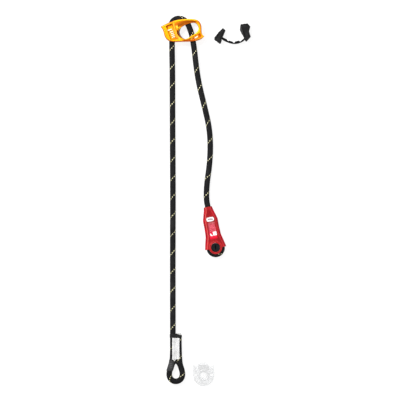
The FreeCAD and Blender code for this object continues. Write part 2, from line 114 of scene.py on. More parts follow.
# ---------------------------------------------------------------- material helpers
class Shader:
    """A Principled material with short calls for adding nodes to it."""

    def __init__(self, name, **sockets):
        self.material = bpy.data.materials.new(name)
        self.material.use_nodes = True
        self.tree = self.material.node_tree
        self.tree.nodes.clear()
        self.bsdf = self.tree.nodes.new("ShaderNodeBsdfPrincipled")
        out = self.tree.nodes.new("ShaderNodeOutputMaterial")
        self.tree.links.new(self.bsdf.outputs[0], out.inputs[0])
        self.put(self.bsdf, sockets)

    def put(self, node, sockets):
        for key, value in sockets.items():
            socket = node.inputs[key.replace("_", " ") if isinstance(key, str) else key]
            if isinstance(value, bpy.types.NodeSocket):
                self.tree.links.new(value, socket)
            elif socket.type == "RGBA" and len(value) == 3:
                socket.default_value = (*value, 1)
            else:
                socket.default_value = value

    def node(self, kind, sockets=None, out=0, **props):
        node = self.tree.nodes.new("ShaderNode" + kind)
        for key, value in props.items():
            setattr(node, key, value)
        self.put(node, sockets or {})
        return node.outputs[out]

    def math(self, operation, *values):
        return self.node("Math", dict(enumerate(values)), operation=operation)

    def times(self, product, *values):
        for value in values:
            product = self.math("MULTIPLY", product, value)
        return product

    def mix(self, factor, a, b):
        return self.node("Mix", {0: factor, 6: a, 7: b}, out=2, data_type="RGBA")

    def blend_value(self, factor, a, b):
        return self.node("Mix", {0: factor, 2: a, 3: b}, out=0, data_type="FLOAT")

    def attribute(self, name):
        return self.node("Attribute", out=2, attribute_name=name)

    def place(self, turn=0.0, origin=(0, 0, 0)):
        """Object coordinates in metres about an origin in mm, turned about Z."""
        where = self.node("TexCoord", out=3)
        moved = self.node("VectorMath", {0: where, 1: tuple(-c * MM for c in origin)}, operation="ADD")
        return self.node("VectorRotate", {"Vector": moved, "Angle": turn}, rotation_type="Z_AXIS")

    def axes(self, turn, origin):
        """The three coordinates of place, one by one."""
        return self.node("SeparateXYZ", {0: self.place(turn, origin)}).node.outputs

    def noise(self, scale, detail=3.0):
        return self.node("TexNoise", {"Vector": self.place(), "Scale": scale, "Detail": detail})

    def ramp(self, factor, *stops):
        node = self.tree.nodes.new("ShaderNodeValToRGB")
        self.tree.links.new(factor, node.inputs[0])
        while len(node.color_ramp.elements) < len(stops):
            node.color_ramp.elements.new(0.5)
        for element, (where, colour) in zip(node.color_ramp.elements, stops):
            element.position, element.color = where, (*colour, 1)
        return node.outputs[0]

    def step(self, value, low, high):
        """0 below low and 1 above high, with a smooth rise between."""
        sockets = {"Value": value, "From Min": low, "From Max": high}
        return self.node("MapRange", sockets, interpolation_type="SMOOTHSTEP")

    def bump(self, height, distance, strength):
        return self.node("Bump", {"Height": height, "Distance": distance, "Strength": strength})

    def finish(self, **sockets):
        self.put(self.bsdf, sockets)
        return self.material


# ---------------------------------------------------------------- mesh helpers
def smooth(values, reach):
    """A weighted mean of each value and its neighbours, held at both ends."""
    padded = np.concatenate([np.full(reach, values[0]), values, np.full(reach, values[-1])])
    weights = np.hanning(2 * reach + 3)[1:-1]
    return np.convolve(padded, weights / weights.sum(), "valid")


def rise(x, low, high):
    """0 below low and 1 above high, with a smooth rise between."""
    t = np.clip((x - low) / (high - low), 0, 1)
    return t * t * (3 - 2 * t)


def turns(count, shift=0.0):
    """Angles of evenly spaced points round a circle."""
    return [2 * math.pi * (k + shift) / count for k in range(count)]


def nearest(points, targets):
    """Distance in plan, in mm, from each point to the closest target."""
    tree = kdtree.KDTree(len(targets))
    for i, (tx, ty) in enumerate(targets):
        tree.insert((tx, ty, 0), i)
    tree.balance()
    return np.array([tree.find((px, py, 0))[2] for px, py in points])


def stroke(x, y, width, *points):
    """1 along a line through the points and 0 away from it, in mm."""
    best = np.full(len(x), np.inf)
    for (ax, ay), (bx, by) in zip(points, points[1:]):
        run = np.array([bx - ax, by - ay])
        t = np.clip(((x - ax) * run[0] + (y - ay) * run[1]) / (run @ run), 0, 1)
        best = np.minimum(best, np.hypot(x - ax - t * run[0], y - ay - t * run[1]))
    return np.exp(-((best / width) ** 2))


def strokes(x, y, lines):
    """The sum of several lines, each (amount, width, point, point, ...)."""
    return sum(amount * stroke(x, y, width, *points) for amount, width, *points in lines)


def loft(rings, ends="capped"):
    """Vertices and faces of a skin over rings with the same number of points.

    Its two ends are capped, joined to each other or open.
    """
    count = len(rings[0])
    verts = [p for ring in rings for p in ring]
    faces = []
    for i in range(len(rings) - 1):
        for j in range(count):
            k = (j + 1) % count
            faces.append((i * count + j, i * count + k, (i + 1) * count + k, (i + 1) * count + j))
    last = (len(rings) - 1) * count
    if ends == "capped":
        faces.append(tuple(range(count))[::-1])
        faces.append(tuple(last + j for j in range(count)))
    elif ends == "joined":
        faces += [(last + j, last + (j + 1) % count, (j + 1) % count, j) for j in range(count)]
    return verts, faces


def add_skin(verts, faces, rings):
    """Adds a capped skin to lists of vertices and faces."""
    more, quads = loft(rings)
    faces.extend(tuple(i + len(verts) for i in quad) for quad in quads)
    verts.extend(more)


def shade(data, sharp):
    """Smooth shading, except at edges over the angle in degrees, where one is given."""
    for polygon in data.polygons:
        polygon.use_smooth = True
    if sharp:
        data.set_sharp_from_angle(angle=math.radians(sharp))


def mesh_piece(name, verts, faces, material, body=None, slot=None, sharp=40.0):
    data = bpy.data.meshes.new(name)
    data.from_pydata([tuple(v) for v in verts], [], [tuple(f) for f in faces])
    data.validate()
    bm = bmesh.new()
    bm.from_mesh(data)
    bmesh.ops.recalc_face_normals(bm, faces=bm.faces)
    bm.to_mesh(data)
    bm.free()
    piece = bpy.data.objects.new(name, data)
    scene.collection.objects.link(piece)
    data.materials.append(material)
    shade(data, sharp)
    if body:
        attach(piece, body)
    return piece


def apply_modifiers(piece):
    bpy.context.view_layer.update()
    graph = bpy.context.evaluated_depsgraph_get()
    data = bpy.data.meshes.new_from_object(piece.evaluated_get(graph))
    old = piece.data
    piece.modifiers.clear()
    piece.data = data
    bpy.data.meshes.remove(old)


def remeshed(node, name, voxel, material, body):
    """A CAD node's shape as an even mesh with softened edges."""
    piece = bpy.data.objects.new(name, frame["nodes"][node].data.copy())
    scene.collection.objects.link(piece)
    piece.data.materials.clear()
    even = piece.modifiers.new("even", "REMESH")
    even.mode, even.voxel_size = "VOXEL", voxel * MM
    soften = piece.modifiers.new("soften", "SMOOTH")
    soften.factor, soften.iterations = 0.5, 2
    apply_modifiers(piece)
    piece.data.materials.append(material)
    shade(piece.data, None)
    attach(piece, body)
    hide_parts(node)
    return piece


def read_skin(piece):
    """A piece's points, in mm, and its normals."""
    vertices = piece.data.vertices
    points, normals = np.empty(len(vertices) * 3), np.empty(len(vertices) * 3)
    vertices.foreach_get("co", points)
    vertices.foreach_get("normal", normals)
    return points.reshape(-1, 3) / MM, normals.reshape(-1, 3)


def write_skin(piece, points, **attributes):
    """Sets a piece's points, in mm, and the point attributes that its material reads."""
    piece.data.vertices.foreach_set("co", (points * MM).ravel())
    for name, values in attributes.items():
        layer = piece.data.attributes.new(name, "FLOAT", "POINT")
        layer.data.foreach_set("value", values.astype(np.float32))
    piece.data.update()


# ---------------------------------------------------------------- ropes
ROPE_R = 5.5
HALF_PITCH = 5.8  # from the middle of a sewn eye's two strands to the middle of either
STRANDS = 20
AROUND = 60
BRAID_LOW, BRAID_DEPTH = 5.35, 0.28
BIGHT_Z = 10.9
SEAM_Z = 6.3

TAIL_ROUTE = [
    (-33.0, -8.0, BIGHT_Z), (-33.0, -24.0, BIGHT_Z), (-33.0, -42.0, BIGHT_Z), (-32.3, -74.0, 8.4),
    (-32.2, -118.0, 5.5), (-31.9, -200.0, 5.5), (-31.2, -312.0, 5.5), (-31.6, -424.0, 5.5),
    (-31.5, -520.0, 5.5), (-31.4, -564.0, SEAM_Z), (-31.4, -586.0, SEAM_Z), (-31.4, -643.0, SEAM_Z),
    (-37.9, -660.5, SEAM_Z), (-38.8, -670.6, SEAM_Z), (-35.8, -677.7, SEAM_Z), (-29.4, -681.9, SEAM_Z),
    (-21.8, -681.9, SEAM_Z), (-15.4, -677.7, SEAM_Z), (-12.5, -670.6, SEAM_Z), (-13.4, -660.5, SEAM_Z),
    (-19.8, -643.0, SEAM_Z), (-19.8, -591.8, SEAM_Z),
]
TAIL_PITCH, TAIL_TRACER_Y = 0.0362, -286.0
TAIL_TWISTS = [
    (-31.4, -580.0, 0.0), (-31.4, -614.0, -2.4), (-38.4, -668.0, 7.6), (-13.0, -660.0, 12.4),
    (-19.8, -634.0, 14.1), (-19.8, -601.5, 18.5),
]

END_CENTRE = Vector((51.7, -421.4, 0.0))
END_TURN = math.radians(10.8)
SLEEVE_H = 15.0


def at_end(x, y, z=SLEEVE_H / 2):
    """A point of the harness end, from its own frame (origin at the ring, +Y up the sleeve), in mm."""
    return tuple(Matrix.Rotation(END_TURN, 3, "Z") @ Vector((x, y, z)) + END_CENTRE)


HARNESS_ROUTE = [
    (-33.0, -8.0, BIGHT_Z), (-33.7, 4.0, BIGHT_Z), (-34.5, 16.2, BIGHT_Z), (-25.6, 24.2, BIGHT_Z),
    (-13.3, 23.9, BIGHT_Z), (-2.8, 16.4, BIGHT_Z), (5.4, -6.2, BIGHT_Z), (8.1, -22.0, BIGHT_Z),
    (10.7, -39.0, BIGHT_Z), (13.8, -68.0, 8.2), (19.2, -103.0, 5.6), (30.4, -148.0, 5.5),
    (39.6, -188.0, 5.5), (42.0, -226.0, 5.5), (39.6, -264.0, 5.5), (34.8, -296.0, 5.5), at_end(0, 97.0),
    at_end(0, 81.4), at_end(0, 70.0), at_end(-5.8, 56.0), at_end(-5.8, 18.0), at_end(-13.06, -0.31),
    at_end(-10.82, -8.35), at_end(-4.17, -13.4), at_end(4.17, -13.4), at_end(10.82, -8.35),
    at_end(13.06, -0.31), at_end(5.8, 18.0), at_end(5.8, 50.9),
]
HARNESS_PITCH, HARNESS_TRACER_Y = 0.0353, -178.0
HARNESS_TWISTS = [
    (8.0, -40.0, -2.6), (14.0, -75.0, 0.0), (*at_end(0, 78.0)[:2], 0.0), (*at_end(-5.8, 20.0)[:2], 12.0),
]


def spline_points(name, route, step):
    """Points along the route's NURBS spline, one step apart, in metres, and how far along each one is."""
    curve = bpy.data.curves.new(name, "CURVE")
    curve.dimensions = "3D"
    curve.resolution_u = 64
    spline = curve.splines.new("NURBS")
    spline.points.add(len(route) - 1)
    for point, place in zip(spline.points, route):
        point.co = (*(c * MM for c in place), 1)
    spline.order_u = 3
    spline.use_endpoint_u = True
    holder = bpy.data.objects.new(name, curve)
    scene.collection.objects.link(holder)
    bpy.context.view_layer.update()
    data = bpy.data.meshes.new_from_object(holder.evaluated_get(bpy.context.evaluated_depsgraph_get()))
    line = np.array([v.co for v in data.vertices])
    bpy.data.objects.remove(holder)
    bpy.data.curves.remove(curve)
    bpy.data.meshes.remove(data)
    travelled = np.concatenate([[0], np.cumsum(np.linalg.norm(np.diff(line, axis=0), axis=1))])
    where = np.linspace(0, travelled[-1], int(round(travelled[-1] / step)) + 1)
    return np.stack([np.interp(where, travelled, line[:, k]) for k in range(3)], axis=1), where


def along(line):
    """Unit directions along a line, level sideways from it, and upwards from it."""
    ahead = np.gradient(line, axis=0)
    ahead /= np.linalg.norm(ahead, axis=1)[:, None]
    side = np.cross(ahead, (0, 0, 1.0))
    side /= np.linalg.norm(side, axis=1)[:, None]
    return ahead, side, np.cross(side, ahead)


def braid_height(a, b):
    """Height, 0 to 1, of a two-over-two-under braid whose strands run along a and along b."""
    first = (np.floor(a) + np.floor(b)) % 4 < 2
    across = np.where(first, a % 1, b % 1)
    run = np.where(first, ((np.floor(a) + b) % 4) / 2, ((a + np.floor(b)) % 4 - 2) / 2)
    return np.sin(np.pi * across) * (0.62 + 0.38 * np.sin(np.pi * np.clip(run, 0, 1)))


def rope_piece(name, route, pitch, tracer_y, twists):
    """A rope as one tube whose surface carries the braid, with the tracer on top at tracer_y, in mm.

    Each twist is (x, y, amount): how far, in mm, the braid has crept back along the rope by that place.
    """
    line, travelled = spline_points(name + "_line", route, pitch / STRANDS / 3)
    _, side, up = along(line)
    crossing = travelled[np.argmin(np.abs(line[:, 1] - tracer_y * MM))]
    places = []
    for tx, ty, _ in twists:
        places.append(travelled[np.argmin(np.hypot(line[:, 0] - tx * MM, line[:, 1] - ty * MM))])
    travelled = travelled + np.interp(travelled, places, [amount * MM for _, _, amount in twists])
    turn = np.arange(AROUND) / AROUND
    u, v = turn * STRANDS, (travelled - crossing) / pitch * STRANDS + 1 / 3 - STRANDS / 4
    across, above = np.cos(2 * np.pi * turn), np.sin(2 * np.pi * turn)
    rings = []
    for i, centre in enumerate(line):
        radius = (BRAID_LOW + BRAID_DEPTH * braid_height(u + v[i] + 1 / 6, u - v[i] + 1 / 6)) * MM
        rings.append(centre + (across * radius)[:, None] * side[i] + (above * radius)[:, None] * up[i])
    _, faces = loft(rings)
    uvs = []
    for low, high in zip(v, v[1:]):
        for j in range(AROUND):
            left, right = j / AROUND * STRANDS, (j + 1) / AROUND * STRANDS
            uvs += [(left, low), (right, low), (right, high), (left, high)]
    for end in (0, -1):
        uvs += [(STRANDS * j / AROUND, v[end]) for j in range(AROUND)]
    data = bpy.data.meshes.new(name)
    data.from_pydata(np.concatenate(rings).tolist(), [], faces)
    data.uv_layers.new(name="braid").data.foreach_set("uv", np.array(uvs, np.float32).ravel())
    for polygon in data.polygons:
        polygon.use_smooth = len(polygon.vertices) == 4
    piece = bpy.data.objects.new(name, data)
    scene.collection.objects.link(piece)
    data.materials.append(braided_sheath)
    return piece, line


def rope_material():
    """Black braid with one pale tracer strand; a and b count the strands of its two directions."""
    s = Shader("braided_sheath", Roughness=0.7, Specular_IOR_Level=0.05)
    u, v, _ = s.node("SeparateXYZ", {0: s.node("UVMap", uv_map="braid")}).node.outputs
    a, b = s.math("ADD", s.math("ADD", u, v), 1 / 6), s.math("ADD", s.math("SUBTRACT", u, v), 1 / 6)
    ia, ib = s.math("FLOOR", a), s.math("FLOOR", b)
    turn = s.math("FLOORED_MODULO", s.math("ADD", ia, ib), 4.0)
    first = s.math("LESS_THAN", turn, 1.5)
    across = s.blend_value(first, s.math("FRACT", b), s.math("FRACT", a))
    run_a = s.times(s.math("FLOORED_MODULO", s.math("ADD", ia, b), 4.0), 0.5)
    run_b = s.math("MULTIPLY_ADD", s.math("FLOORED_MODULO", s.math("ADD", a, ib), 4.0), 0.5, -1.0)
    run = s.blend_value(first, run_b, run_a)
    crown = s.math("SINE", s.times(across, math.pi))
    hump = s.math("SINE", s.times(run, math.pi))
    height = s.times(crown, s.math("MULTIPLY_ADD", hump, 0.4, 0.6))
    yarn = s.math("MULTIPLY_ADD", s.math("SINE", s.times(across, 6 * math.pi)), 0.06, height)
    height = s.math("MULTIPLY_ADD", s.noise(2600.0, 2.0), 0.35, yarn)
    is_tracer = s.math("LESS_THAN", s.math("FLOORED_MODULO", s.math("ADD", ia, 0.5), float(STRANDS)), 1.0)
    # Painted shade: the braid's grooves are darker than its crowns, in the black and in the pale tracer
    # alike.
    depth = s.step(crown, 0.1, 0.8)
    black = s.mix(depth, (0.004, 0.004, 0.0045), (0.016, 0.016, 0.017))
    black = s.mix(s.step(s.noise(55.0, 4.0), 0.45, 0.8), black, (0.022, 0.022, 0.023))
    pale = s.mix(depth, (0.60, 0.55, 0.24), (0.97, 0.93, 0.60))
    colour = s.mix(s.times(is_tracer, first), black, pale)
    return s.finish(Base_Color=colour, Normal=s.bump(height, 0.00035, 0.9))


braided_sheath = rope_material()
tail_rope, tail_line = rope_piece("tail_rope", TAIL_ROUTE, TAIL_PITCH, TAIL_TRACER_Y, TAIL_TWISTS)
harness_rope, harness_line = rope_piece("harness_rope", HARNESS_ROUTE, HARNESS_PITCH, HARNESS_TRACER_Y,
                                        HARNESS_TWISTS)
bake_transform(tail_rope)
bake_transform(harness_rope)
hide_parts("tail_strand", "tail_eye_rope")
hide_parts("rope_bight", "harness_strand", "harness_eye_rope")


# ---------------------------------------------------------------- adjuster
HOLE_MIDDLE = (2.0, 1.0)
CHANNEL_WALL_X = -38.7
CORNER_LINE = (1.5, (20.6, -6.4), (21.6, -10.6))
# Strokes of painted shade, each (amount, width in mm, point, point, ...).
SHADE_LINES = [
    (0.5, 1.7, (-42.2, 7.4), (-42.0, 6.6)),
    (0.35, 1.6, (-36.4, 11.0), (-35.0, 11.6)),
    (0.5, 2.0, (-25.0, -15.0), (-22.2, -14.2)),
    (0.6, 1.1, (-28.0, 11.0), (-25.9, 3.2), (-20.8, -6.8), (-16.4, -12.2)),
]
# Strokes of painted highlight, each (amount, width in mm, point, point, ...).
HIGHLIGHT_LINES = [
    (0.5, 1.3, (-29.8, 15.0), (-27.9, 2.0), (-22.0, -12.6)),
    (1.0, 1.5, (-23.6, 8.4), (-22.2, 6.2)),
    (0.6, 1.7, (-19.5, -13.5), (-17.6, -15.6)),
    (0.6, 1.4, (4.2, -16.2), (6.4, -14.2)),
    (0.35, 1.4, (12.5, 13.0), (18.6, 3.0), (14.5, -6.5)),
]


def anodised():
    """Yellow anodised forging: painted highlights on its rims, painted shade, deep orange, in its hollows,
    and dark painted shadow in the bore.
    """
    s = Shader("anodised_alloy", Metallic=0.3, Coat_Weight=0.06, Coat_Roughness=0.2, Specular_IOR_Level=0.14)
    bore = s.attribute("bore")
    fine = s.noise(900.0, 4.0)
    # Colour from bright yellow to deep orange, set by random tone and by painted shade.
    shade_and_tone = s.math("MULTIPLY_ADD", s.math("SUBTRACT", s.noise(70.0), 0.5), 0.16, s.attribute("hollow"))
    colour = s.ramp(shade_and_tone, (0.0, (0.97, 0.52, 0.002)), (0.25, (0.85, 0.35, 0.002)),
                    (0.55, (0.66, 0.185, 0.002)), (1.0, (0.50, 0.100, 0.001)))
    # Painted shadow: the bore's walls are dark red-brown.
    colour = s.mix(bore, colour, (0.10, 0.006, 0.001))
    # Painted highlights, pale yellow, along the ridges and rims.
    colour = s.mix(s.attribute("worn"), colour, (0.98, 0.66, 0.07))
    rough = s.blend_value(bore, s.blend_value(fine, 0.28, 0.46), 0.85)
    return s.finish(Base_Color=colour, Roughness=rough, Normal=s.bump(fine, 0.00006, 0.5))


def forge(piece):
    """Shapes the adjuster's front: raised rims, sunk panels, a scoop down to the hole, a flared bore."""
    co, normal = read_skin(piece)
    x, y, z = co.T.copy()
    away = co[:, :2] - HOLE_MIDDLE
    wall = (z > 17.3) & (z < 18.7) & (np.abs(normal[:, 2]) < 0.5)
    near_hole = wall & ((away * normal[:, :2]).sum(axis=1) < 0) & (x > -20) & (x < 24)
    outer = nearest(co[:, :2], co[wall & ~near_hole][:, :2])
    hole = nearest(co[:, :2], co[near_hole][:, :2])
    front = rise(z, 17.5, 23.5)
    angle = np.degrees(np.arctan2(away[:, 1], away[:, 0])) % 360
    away /= np.linalg.norm(away, axis=1)[:, None] + 1e-6
    across = outer / (outer + hole + 1e-6)

    drop = 2.0 * rise(x, -14.0, 22.0) + 0.9 * rise(-x, 44.0, 55.0)
    panel = rise(np.minimum(outer, hole * 1.4), 2.4, 4.2)
    drop += 1.1 * panel
    # The pocket for the bars: how far inside its four sides a point is.
    head = 9.0 + 0.378 * (x + 44.6) - y
    sides = [x + 0.352 * y + 41.7, -27.0 - x - 0.42 * y, head, y + 17.0 - 0.2 * (x + 31.0)]
    inside = np.minimum.reduce(sides)
    pocket = rise(inside, -0.4, 1.2)
    drop += 1.2 * pocket
    facet = rise(angle, 228, 246) * (1 - rise(angle, 288, 304))
    drop += 3.0 * facet * (1 - rise(across, 0.15, 0.85)) * rise(outer, 0.2, 1.5)
    corner = stroke(x, y, *CORNER_LINE)
    drop += 1.2 * corner
    new_z = z - front * drop
    # The scoop's floor becomes a slope from the rim down to the hole; the heights between follow it.
    plate, floor, top = 16.8, 19.2, 24.0
    slope = 23.0 - 1.2 * rise(x, -14.0, 22.0) - 5.0 * rise(across, 0.12, 0.95)
    above = slope + (z - floor) * (top - drop - slope) / (top - floor)
    below = plate + (z - plate) * (slope - plate) / (floor - plate)
    sector = rise(angle, 38, 60) * (1 - rise(angle, 154, 168)) * (z > plate)
    basin = sector * rise(outer, 1.8, 3.4)
    new_z += basin * (np.where(z > floor, above, below) - new_z)
    # The bore flares out to the front, and has a ledge at the back of its left side.
    reach = rise(angle, 160, 182) * (1 - 0.65 * rise(angle, 196, 230)) * (1 - rise(angle, 236, 262))
    flare = reach * (1 - rise(hole, 0.8, 4.2)) * rise(z, 16.6, 23.0)
    ledge = reach * (1 - rise(hole, 1.0, 4.0)) * (1 - rise(z, 6.0, 16.0)) * (x > -25)
    co[:, :2] += (2.3 * flare - 1.5 * ledge)[:, None] * away
    # The rope lies against the left wall of its channel, which gives way for it.
    channel = rise(normal[:, 0] + 0.9 * rise(y, 13.0, 15.5), 0.2, 0.7) * (z > 3) * (z < 17.5)
    channel *= rise(2.2 - np.abs(x - CHANNEL_WALL_X), 0.0, 0.7)
    co[:, 0] -= channel * (0.5 + 0.9 * rise(y, -12.0, 4.0)) + 0.34 * rise(-x, 48.0, 54.0)
    co[:, 2] = new_z - 0.8 * flare * front

    # Painted shade: the sunk panels, the scoop, the facet below the hole, the pocket's walls and top end, the
    # outer edges, the ring's outer band and the sloping sides are darkened.
    edge = 1 - rise(outer, 0.8, 2.4)
    hollow = 0.18 * panel + 0.68 * basin * rise(across, 0.16, 0.42)
    hollow += 1.1 * facet * (1 - rise(across, 0.4, 0.85)) * rise(outer, 0.5, 1.5)
    hollow += 0.42 * rise(inside, -0.9, 0.1) * (1 - rise(inside, 0.9, 2.2))
    hollow += 0.5 * pocket * (1 - rise(head, 2.0, 5.0)) + strokes(x, y, SHADE_LINES) + 0.75 * corner
    hollow += 0.9 * edge * (rise(-x, 24.0, 34.0) + rise(-y, 12.0, 16.0)).clip(0, 1)
    hollow += 0.8 * rise(x, 13.0, 20.0) * (1 - rise(outer, 1.6, 3.4)) * rise(y, -8.0, -2.0)
    hollow += 0.35 * rise(x, 6.0, 10.0) * rise(-y, 5.0, 8.0) * rise(np.minimum(outer, hole), 1.6, 2.6)
    rolled = 1 - rise(np.abs(normal[:, 2]), 0.3, 0.85)
    hollow = np.clip(np.maximum(hollow * rise(z, 15.0, 17.0), 0.62 * rolled), 0, 1)
    # Painted shadow in the bore: its flared front wall, and the walls that face into the hole below the front
    # plate.
    facing = rise(-(away * normal[:, :2]).sum(axis=1), 0.2, 0.6) * (hole < 4.5)
    bore = np.maximum(flare * rise(2.4 - hole, 0.0, 1.0), facing * (1 - rise(z, 14.0, 16.8))) * (x > -25)
    # Painted highlights: pale strokes along the ridges and rims where they face up.
    worn = strokes(x, y, HIGHLIGHT_LINES) * rise(normal[:, 2], 0.2, 0.7) * (z > 17)
    write_skin(piece, co, hollow=hollow, bore=bore, worn=np.clip(worn, 0, 1))


def raised_bars(name, bars, floor, top):
    """Flat rounded bars on the adjuster: each is (x, y, length, width, angle) in mm."""
    verts, faces = [], []
    for cx, cy, length, width, angle in bars:
        turn = math.radians(angle)
        radius = min(length, width) / 2 * 0.8
        rings = []
        for inset, height in ((0.0, floor), (0.0, top - 0.25), (0.12, top - 0.07), (0.35, top)):
            ring = []
            for t in turns(24, 0.5):
                px = math.copysign(length / 2 - radius, math.cos(t)) + (radius - inset) * math.cos(t)
                py = math.copysign(width / 2 - radius, math.sin(t)) + (radius - inset) * math.sin(t)
                gx = cx + px * math.cos(turn) - py * math.sin(turn)
                gy = cy + px * math.sin(turn) + py * math.cos(turn)
                ring.append((gx * MM, gy * MM, height * MM))
            rings.append(ring)
        add_skin(verts, faces, rings)
    return mesh_piece(name, verts, faces, cream, "adjuster", "anodised_alloy")


def enamel():
    s = Shader("cream_enamel", Roughness=0.5, Specular_IOR_Level=0.3)
    spots = s.noise(700.0)
    colour = s.mix(s.step(spots, 0.35, 0.75), (0.82, 0.64, 0.38), (0.86, 0.76, 0.58))
    return s.finish(Base_Color=colour, Normal=s.bump(spots, 0.00005, 0.6))


adjuster = remeshed("adjuster_frame", "adjuster_body", 0.45, anodised(), "adjuster")
forge(adjuster)
cream = enamel()
bars = [(-37.2, 1.6, 9.0, 2.4, 18)]
for i, bar_x in enumerate((-33.8, -32.3, -31.0, -29.9)):
    bars.append((bar_x, -2.1 - 3.4 * i, 6.6 - 0.6 * (i % 2), 2.3, 18))
raised_bars("adjuster_bars", bars, 21.0, 22.5)
raised_bars("adjuster_corner_bar", [(13.7, -12.8, 8.2, 2.8, 26)], 18.6, 20.6)


# ---------------------------------------------------------------- sewn tail
TAIL_MID_X = -25.6
THREAD_LIFT = 0.25
WEAR_SLEEVE_LOW, WEAR_SLEEVE_HIGH = -661.5, -641.2


def thread_material():
    s = Shader("sewing_thread", Roughness=0.85, Sheen_Weight=0.1, Specular_IOR_Level=0.2)
    colour = s.mix(s.step(s.noise(90.0), 0.4, 0.75), (0.72, 0.72, 0.72), (0.60, 0.60, 0.59))
    return s.finish(Base_Color=colour, Normal=s.bump(s.noise(1500.0), 0.00012, 0.8))


def rubber(name, colour, rough, grain, depth, gloss):
    s = Shader(name, Specular_IOR_Level=gloss)
    fine = s.noise(grain, 4.0)
    light = tuple(c * 1.8 + 0.002 for c in colour)
    tone = s.mix(s.step(s.noise(70.0, 2.0), 0.3, 0.8), colour, light)
    return s.finish(Base_Color=tone, Roughness=s.blend_value(fine, rough - 0.1, rough + 0.12),
                    Normal=s.bump(fine, depth, 0.7))


white_thread = thread_material()
black_band = rubber("black_band", (0.008, 0.008, 0.0085), 0.5, 350.0, 0.00005, 0.12)


def over_strands(x):
    """Height above the strands' middle of thread laid over two strands side by side."""
    crown = math.sqrt(max(0.0, (ROPE_R + THREAD_LIFT) ** 2 - (abs(x) - HALF_PITCH) ** 2))
    return max(crown, ROPE_R * 0.72 + THREAD_LIFT)


def thread_block():
    """Dense zigzag thread over and under the tail's two strands, on a padded base."""
    width, bottom, top, rows = 13.6, -639.0, -597.4, 30
    rng = np.random.default_rng(7)
    verts, faces = [], []

    def world(px, py, pz):
        return (px + TAIL_MID_X) * MM, py * MM, (pz + SEAM_Z) * MM

    xs = np.linspace(-width / 2, width / 2, 25)
    rings = []
    for py in np.linspace(bottom, top, int((top - bottom) / 1.2)):
        grow = 1 + 0.02 * math.sin(py * 3.1)
        over = [world(px * grow, py, over_strands(px)) for px in xs]
        rings.append(over + [world(px * grow, py, -over_strands(px)) for px in xs[::-1]])
    add_skin(verts, faces, rings)
    step = (top - bottom) / rows
    for face in (1, -1):
        line = []
        for row in range(rows):
            way = 1 if row % 2 == 0 else -1
            for part in np.linspace(-1, 1, 15):
                wide = width / 2 + 0.25 + rng.uniform(-0.15, 0.3)
                py = bottom + step * (row + 0.5) + part * 0.5 * step * 0.9
                line.append((part * way * wide, py, face * (over_strands(part * width / 2) + 0.18)))
        line = np.array(line)
        _, side, up = along(line)
        rings = []
        for i, p in enumerate(line):
            ring = [p + 0.5 * (math.cos(t) * side[i] * 1.15 + math.sin(t) * up[i] * 0.8) for t in turns(6)]
            rings.append([world(*q) for q in ring])
        add_skin(verts, faces, rings)
    piece = mesh_piece("tail_thread", verts, faces, white_thread, "tail_end", "white_thread", sharp=None)
    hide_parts("tail_stitching")
    return piece


def thread_ends(lines, radius):
    """Short free ends of sewing thread, each a bent tube through its points, in mm."""
    verts, faces = [], []
    for points in lines:
        corners = np.array(points, float)
        where = np.linspace(0, len(corners) - 1, 14)
        numbers = np.arange(len(corners))
        line = np.stack([smooth(np.interp(where, numbers, corners[:, k]), 1) for k in range(3)], axis=1)
        _, side, up = along(line)
        rings = []
        for i, p in enumerate(line):
            taper = radius * (0.55 if i in (0, len(line) - 1) else 1.0)
            ring = [p + taper * (math.cos(t) * side[i] + math.sin(t) * up[i]) for t in turns(8)]
            rings.append([tuple(q * MM) for q in ring])
        add_skin(verts, faces, rings)
    return mesh_piece("tail_thread_ends", verts, faces, white_thread, "tail_end", "white_thread", sharp=None)


def seam_band():
    """A shrunk band round the tail's two strands, slightly waisted. Its top edge falls to the right."""
    top, width, wall = -590.0, 6.8, 0.7
    rings = []
    for part, extra in ((0, -0.45), (0.02, -0.1), (0.08, 0.0), (0.3, -0.07), (0.5, -0.1), (0.7, -0.06),
                        (0.92, 0.0), (0.98, -0.1), (1, -0.45)):
        py = top - width * part
        radius = ROPE_R + wall + extra
        arc = [math.radians(-90 + 7.5 * k) for k in range(25)]
        right = [(HALF_PITCH + radius * math.cos(t), radius * math.sin(t)) for t in arc]
        half = right + [(px, radius) for px in (3.9, 2.6, 1.3, 0.0, -1.3, -2.6, -3.9)]
        ring = []
        for px, pz in half + [(-px, -pz) for px, pz in half]:
            pinch = 0.16 * math.exp(-((px / 3.0) ** 2))
            fall = 1.9 * min(1.0, max(0.0, (px - 1.0) / 7.0)) - 1.2 * math.exp(-((px - 1.0) / 2.0) ** 2)
            spot = (TAIL_MID_X + px, py - (1 - part) * fall, SEAM_Z + pz * (1 - pinch))
            ring.append(metres(spot))
        rings.append(ring)
    piece = mesh_piece("tail_band", *loft(rings), black_band, "tail_end", "shrink_band")
    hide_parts("tail_seam_band")
    return piece


